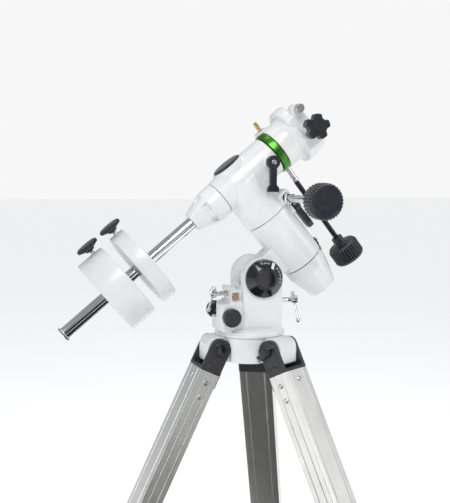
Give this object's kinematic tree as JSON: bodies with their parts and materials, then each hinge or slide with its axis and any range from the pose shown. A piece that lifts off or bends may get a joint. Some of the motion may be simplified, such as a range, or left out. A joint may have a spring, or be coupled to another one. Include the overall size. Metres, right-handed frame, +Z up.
{
  "type": "equatorial mount on tripod",
  "caption": "White German equatorial telescope mount with counterweight bar, weights, slow motion knobs and saddle, on a folding aluminium tripod.",
  "frame": {"origin": "on the floor under the azimuth axis, midway between the three feet", "axes": "+Z up along the azimuth axis, +X towards the side the polar axis slopes down to, +Y along the latitude hinge"},
  "size_m": [0.6092, 0.67, 1.0028],
  "materials": {
    "white_paint": "gloss",
    "white_iron": "gloss white enamel",
    "chrome": "polished",
    "steel": "turned",
    "black_plastic": "satin",
    "black_gloss": "gloss",
    "green_anodised": "anodised",
    "brass": "machined",
    "dark_bracket": "satin",
    "leg_aluminium": "satin",
    "foot_rubber": "matt"
  },
  "bodies": {
    "tripod": {"tripod_head": "white_paint", "leg_hinge_bolts": "steel", "azimuth_peg": "steel"},
    "centre_lock": {"centre_lock_bolt": "black_plastic"},
    "leg_north": {"leg_bracket_north": "dark_bracket", "leg_rail_north": "leg_aluminium", "leg_clamp_north": "dark_bracket"},
    "leg_lock_north": {"leg_lock_knob_north": "black_plastic"},
    "lower_leg_north": {"leg_extension_north": "leg_aluminium", "leg_foot_north": "foot_rubber"},
    "leg_west": {"leg_bracket_west": "dark_bracket", "leg_rail_west": "leg_aluminium", "leg_clamp_west": "dark_bracket"},
    "leg_lock_west": {"leg_lock_knob_west": "black_plastic"},
    "lower_leg_west": {"leg_extension_west": "leg_aluminium", "leg_foot_west": "foot_rubber"},
    "leg_east": {"leg_bracket_east": "dark_bracket", "leg_rail_east": "leg_aluminium", "leg_clamp_east": "dark_bracket"},
    "leg_lock_east": {"leg_lock_knob_east": "black_plastic"},
    "lower_leg_east": {"leg_extension_east": "leg_aluminium", "leg_foot_east": "foot_rubber"},
    "base": {"base_casting": "white_paint", "latitude_axle": "steel", "latitude_dial": "black_gloss"},
    "azimuth_screw_west": {"azimuth_screw_west": "black_plastic"},
    "azimuth_screw_east": {"azimuth_screw_east": "black_plastic"},
    "latitude_bolt_north": {"latitude_bolt_north": "chrome"},
    "tommy_bar_north": {"tommy_bar_north": "chrome"},
    "latitude_bolt_south": {"latitude_bolt_south": "chrome"},
    "tommy_bar_south": {"tommy_bar_south": "chrome"},
    "polar": {"polar_housing": "white_paint", "ra_circle": "green_anodised", "ra_pointer": "black_plastic"},
    "polar_cover": {"polar_cover": "white_paint"},
    "ra_lever": {"ra_lever": "black_plastic"},
    "ra_head": {"declination_housing": "white_paint", "ra_shaft": "steel", "ra_wheel": "brass", "dec_circle": "green_anodised"},
    "pole_cap": {"pole_cap": "black_gloss"},
    "ra_slow": {"ra_worm": "brass", "ra_slow_shaft": "chrome", "ra_knob": "black_plastic"},
    "dec_lever": {"dec_lever": "black_plastic"},
    "dec_head": {"saddle_head": "white_paint", "dec_shaft": "steel", "dec_wheel": "brass", "bar_nut": "white_paint", "counterweight_bar": "chrome", "end_stop": "chrome"},
    "dec_slow": {"dec_worm": "brass", "dec_slow_shaft": "chrome", "dec_knob": "black_plastic"},
    "saddle_knob": {"saddle_knob": "black_plastic"},
    "saddle_screw": {"saddle_screw": "steel"},
    "weight_small": {"weight_small": "white_iron"},
    "thumbscrew_small": {"thumbscrew_small": "black_plastic"},
    "weight_large": {"weight_large": "white_iron"},
    "thumbscrew_large": {"thumbscrew_large": "black_plastic"}
  },
  "joints": [
    {"name": "centre_lock_turn", "type": "hinge", "parent": "tripod", "child": "centre_lock", "pos_m": [0, 0, 0.67613], "axis": [0, 0, 1], "range_deg": [0, 720]},
    {"name": "leg_north_fold", "type": "hinge", "parent": "tripod", "child": "leg_north", "pos_m": [-0.05287, -0.0037, 0.65913], "axis": [0.0698, -0.9976, 0], "range_deg": [0, 24]},
    {"name": "leg_north_extend", "type": "slide", "parent": "leg_north", "child": "lower_leg_north", "axis": [-0.4373, -0.0306, -0.8988], "range_m": [0, 0.3]},
    {"name": "leg_north_lock_turn", "type": "hinge", "parent": "leg_north", "child": "leg_lock_north", "pos_m": [-0.23362, -0.01634, 0.28763], "axis": [-0.8966, -0.0627, 0.4384], "range_deg": [0, 360]},
    {"name": "leg_west_fold", "type": "hinge", "parent": "tripod", "child": "leg_west", "pos_m": [0.02964, -0.04394, 0.65913], "axis": [0.829, 0.5592, 0], "range_deg": [0, 24]},
    {"name": "leg_west_extend", "type": "slide", "parent": "leg_west", "child": "lower_leg_west", "axis": [0.2451, -0.3634, -0.8988], "range_m": [0, 0.3]},
    {"name": "leg_west_lock_turn", "type": "hinge", "parent": "leg_west", "child": "leg_lock_west", "pos_m": [0.13096, -0.19415, 0.28763], "axis": [0.5026, -0.7451, 0.4384], "range_deg": [0, 360]},
    {"name": "leg_east_fold", "type": "hinge", "parent": "tripod", "child": "leg_east", "pos_m": [0.02323, 0.04764, 0.65913], "axis": [-0.8988, 0.4384, 0], "range_deg": [0, 24]},
    {"name": "leg_east_extend", "type": "slide", "parent": "leg_east", "child": "lower_leg_east", "axis": [0.1922, 0.394, -0.8988], "range_m": [0, 0.3]},
    {"name": "leg_east_lock_turn", "type": "hinge", "parent": "leg_east", "child": "leg_lock_east", "pos_m": [0.10266, 0.21049, 0.28763], "axis": [0.394, 0.8078, 0.4384], "range_deg": [0, 360]},
    {"name": "azimuth_turn", "type": "hinge", "parent": "tripod", "child": "base", "pos_m": [0, 0, 0.67613], "axis": [0, 0, 1], "range_deg": [-6, 6]},
    {"name": "azimuth_west_drive", "type": "slide", "parent": "base", "child": "azimuth_screw_west", "axis": [0, 1, 0], "range_m": [-0.006, 0.006]},
    {"name": "azimuth_east_drive", "type": "slide", "parent": "base", "child": "azimuth_screw_east", "axis": [0, 1, 0], "range_m": [-0.006, 0.006]},
    {"name": "latitude_tilt", "type": "hinge", "parent": "base", "child": "polar", "pos_m": [0.0104, 0, 0.75813], "axis": [0, 1, 0], "range_deg": [-20, 8]},
    {"name": "latitude_north_drive", "type": "slide", "parent": "base", "child": "latitude_bolt_north", "axis": [1, 0, 0], "range_m": [-0.009, 0.012]},
    {"name": "latitude_south_drive", "type": "slide", "parent": "base", "child": "latitude_bolt_south", "axis": [1, 0, 0], "range_m": [-0.014, 0.016]},
    {"name": "tommy_north_slide", "type": "slide", "parent": "latitude_bolt_north", "child": "tommy_bar_north", "axis": [0, -0.6428, 0.766], "range_m": [0, 0.016]},
    {"name": "tommy_south_slide", "type": "slide", "parent": "latitude_bolt_south", "child": "tommy_bar_south", "axis": [0, 0.5299, 0.848], "range_m": [0, 0.007]},
    {"name": "ra_turn", "type": "hinge", "parent": "polar", "child": "ra_head", "pos_m": [-0.015, 0, 0.89313], "axis": [-0.6401, 0, 0.7683], "range_deg": [-75, 75]},
    {"name": "polar_cover_pull", "type": "slide", "parent": "polar", "child": "polar_cover", "axis": [0.6401, 0, -0.7683], "range_m": [0, 0.03]},
    {"name": "ra_clutch", "type": "hinge", "parent": "polar", "child": "ra_lever", "pos_m": [0.06182, -0.008, 0.85561], "axis": [0.7683, 0, 0.6401], "range_deg": [-30, 30]},
    {"name": "pole_cap_pull", "type": "slide", "parent": "ra_head", "child": "pole_cap", "axis": [-0.6401, 0, 0.7683], "range_m": [0, 0.02]},
    {"name": "ra_slow_turn", "type": "hinge", "parent": "ra_head", "child": "ra_slow", "pos_m": [0.04683, 0, 0.8711], "axis": [0.0223, -0.9994, -0.0268], "continuous": true},
    {"name": "dec_clutch", "type": "hinge", "parent": "ra_head", "child": "dec_lever", "pos_m": [0.02149, -0.033, 0.91963], "axis": [0, -1, 0], "range_deg": [-30, 30]},
    {"name": "dec_turn", "type": "hinge", "parent": "ra_head", "child": "dec_head", "pos_m": [-0.015, 0, 0.89313], "axis": [0.7683, 0, 0.6401], "continuous": true},
    {"name": "dec_slow_turn", "type": "hinge", "parent": "dec_head", "child": "dec_slow", "pos_m": [0.04569, 0.0364, 0.9437], "axis": [0.6129, 0, -0.7902], "continuous": true},
    {"name": "saddle_knob_turn", "type": "hinge", "parent": "dec_head", "child": "saddle_knob", "pos_m": [0.0795, 0, 0.96796], "axis": [0, -1, 0], "range_deg": [0, 720]},
    {"name": "saddle_screw_turn", "type": "hinge", "parent": "dec_head", "child": "saddle_screw", "pos_m": [0.05774, 0, 0.99408], "axis": [0, -1, 0], "range_deg": [0, 720]},
    {"name": "weight_small_slide", "type": "slide", "parent": "dec_head", "child": "weight_small", "axis": [-0.7683, 0, -0.6401], "range_m": [-0.07, 0.006]},
    {"name": "weight_large_slide", "type": "slide", "parent": "dec_head", "child": "weight_large", "axis": [-0.7683, 0, -0.6401], "range_m": [-0.006, 0.062]},
    {"name": "thumbscrew_small_turn", "type": "hinge", "parent": "weight_small", "child": "thumbscrew_small", "pos_m": [-0.15437, 0, 0.77702], "axis": [-0.6401, 0, 0.7683], "range_deg": [0, 360]},
    {"name": "thumbscrew_large_turn", "type": "hinge", "parent": "weight_large", "child": "thumbscrew_large", "pos_m": [-0.18525, 0, 0.75128], "axis": [-0.6401, 0, 0.7683], "range_deg": [0, 360]}
  ],
  "couplings": [
    {"joint": "azimuth_west_drive", "follows": "azimuth_turn", "m_per_rad": 0.039},
    {"joint": "azimuth_east_drive", "follows": "azimuth_turn", "m_per_rad": 0.039},
    {"joint": "latitude_north_drive", "follows": "latitude_tilt", "m_per_rad": -0.023},
    {"joint": "latitude_south_drive", "follows": "latitude_tilt", "m_per_rad": -0.036}
  ]
}
